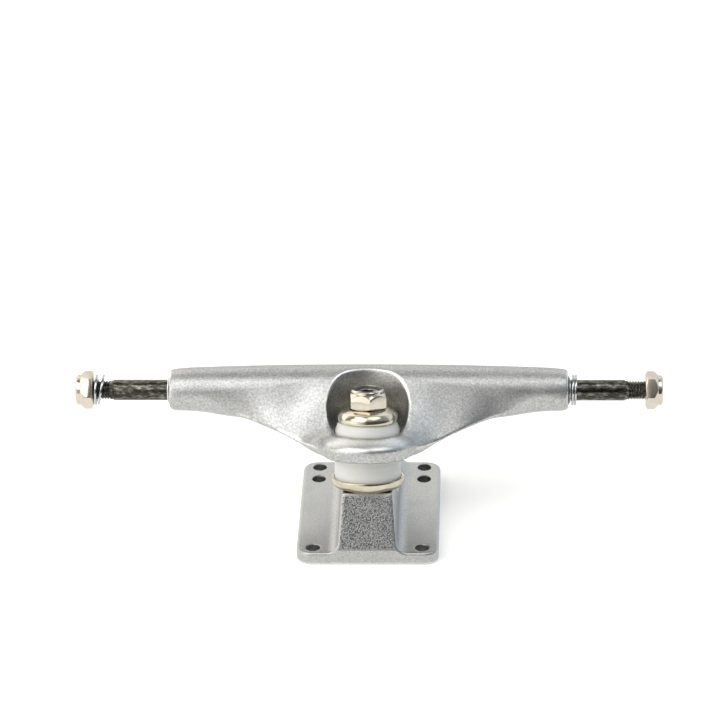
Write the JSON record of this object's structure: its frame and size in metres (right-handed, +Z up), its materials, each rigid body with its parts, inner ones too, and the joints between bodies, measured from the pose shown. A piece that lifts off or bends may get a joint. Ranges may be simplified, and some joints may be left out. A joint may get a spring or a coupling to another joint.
{
  "type": "skateboard truck",
  "caption": "Skateboard truck: cast hanger on a kingpin with two bushings, a drafted base plate with a pivot cup, and a steel axle with lock nuts and speed rings.",
  "frame": {"origin": "middle of the bolt pattern, on the underside of the base plate", "axes": "+Z up, away from the board, as the truck stands on a bench; X along the axle; the kingpin side is -Y and the pivot side +Y"},
  "size_m": [0.2246, 0.073, 0.0619],
  "materials": {
    "plate_metal": "as cast, sandblasted",
    "hanger_metal": "tumbled casting",
    "dark_steel": "black oxide",
    "plated_steel": "zinc plated",
    "nut_steel": "zinc plated",
    "bushing": "white urethane",
    "black_plastic": "moulded",
    "nylon": "moulded"
  },
  "bodies": {
    "base": {"baseplate": "plate_metal", "pivot_cup": "black_plastic", "kingpin": "dark_steel", "board_side_cup_washer": "plated_steel", "board_side_bushing": "bushing", "road_side_bushing": "bushing", "road_side_cup_washer": "plated_steel"},
    "hanger_body": {"hanger": "hanger_metal", "axle": "dark_steel"},
    "kingpin_nut_travel": {"kingpin_nut_insert": "nylon"},
    "kingpin_nut_body": {"kingpin_nut": "nut_steel"},
    "axle_nut_left_travel": {"axle_nut_left_insert": "nylon"},
    "axle_nut_left_body": {"axle_nut_left": "nut_steel"},
    "axle_nut_right_travel": {"axle_nut_right_insert": "nylon"},
    "axle_nut_right_body": {"axle_nut_right": "nut_steel"},
    "speed_ring_outer_left_body": {"speed_ring_outer_left": "nut_steel"},
    "speed_ring_inner_left_body": {"speed_ring_inner_left": "nut_steel"},
    "speed_ring_inner_right_body": {"speed_ring_inner_right": "nut_steel"},
    "speed_ring_outer_right_body": {"speed_ring_outer_right": "nut_steel"}
  },
  "joints": [
    {"name": "steer", "type": "hinge", "parent": "base", "child": "hanger_body", "pos_m": [0, -0.01306, 0.04057], "axis": [0, 0.8084, -0.5887], "range_deg": [-15, 15], "stiffness_Nm_per_rad": 30, "deforming": ["board_side_bushing", "road_side_bushing"]},
    {"name": "kingpin_nut_slide", "type": "slide", "parent": "base", "child": "kingpin_nut_travel", "axis": [0, 0.2588, 0.9659], "range_m": [0, 0.00318]},
    {"name": "kingpin_nut_turn", "type": "hinge", "parent": "kingpin_nut_travel", "child": "kingpin_nut_body", "pos_m": [0, -0.0097, 0.05313], "axis": [0, 0.2588, 0.9659], "range_deg": [0, 1080]},
    {"name": "axle_nut_left_slide", "type": "slide", "parent": "hanger_body", "child": "axle_nut_left_travel", "axis": [-1, 0, 0], "range_m": [0, 0.00423]},
    {"name": "axle_nut_left_turn", "type": "hinge", "parent": "axle_nut_left_travel", "child": "axle_nut_left_body", "pos_m": [-0.1053, 0.0075, 0.05183], "axis": [-1, 0, 0], "range_deg": [0, 1440]},
    {"name": "axle_nut_right_slide", "type": "slide", "parent": "hanger_body", "child": "axle_nut_right_travel", "axis": [1, 0, 0], "range_m": [0, 0.00423]},
    {"name": "axle_nut_right_turn", "type": "hinge", "parent": "axle_nut_right_travel", "child": "axle_nut_right_body", "pos_m": [0.1053, 0.0075, 0.05183], "axis": [1, 0, 0], "range_deg": [0, 1440]},
    {"name": "speed_ring_outer_left_slide", "type": "slide", "parent": "hanger_body", "child": "speed_ring_outer_left_body", "axis": [-1, 0, 0], "range_m": [0, 0.00015]},
    {"name": "speed_ring_inner_left_slide", "type": "slide", "parent": "hanger_body", "child": "speed_ring_inner_left_body", "axis": [-1, 0, 0], "range_m": [-0.0233, 0]},
    {"name": "speed_ring_inner_right_slide", "type": "slide", "parent": "hanger_body", "child": "speed_ring_inner_right_body", "axis": [1, 0, 0], "range_m": [-0.00015, 0]},
    {"name": "speed_ring_outer_right_slide", "type": "slide", "parent": "hanger_body", "child": "speed_ring_outer_right_body", "axis": [1, 0, 0], "range_m": [0, 0.0252]}
  ],
  "couplings": [
    {"joint": "kingpin_nut_slide", "follows": "kingpin_nut_turn", "m_per_rad": 0.00016844},
    {"joint": "axle_nut_left_slide", "follows": "axle_nut_left_turn", "m_per_rad": 0.00016844},
    {"joint": "axle_nut_right_slide", "follows": "axle_nut_right_turn", "m_per_rad": 0.00016844}
  ]
}
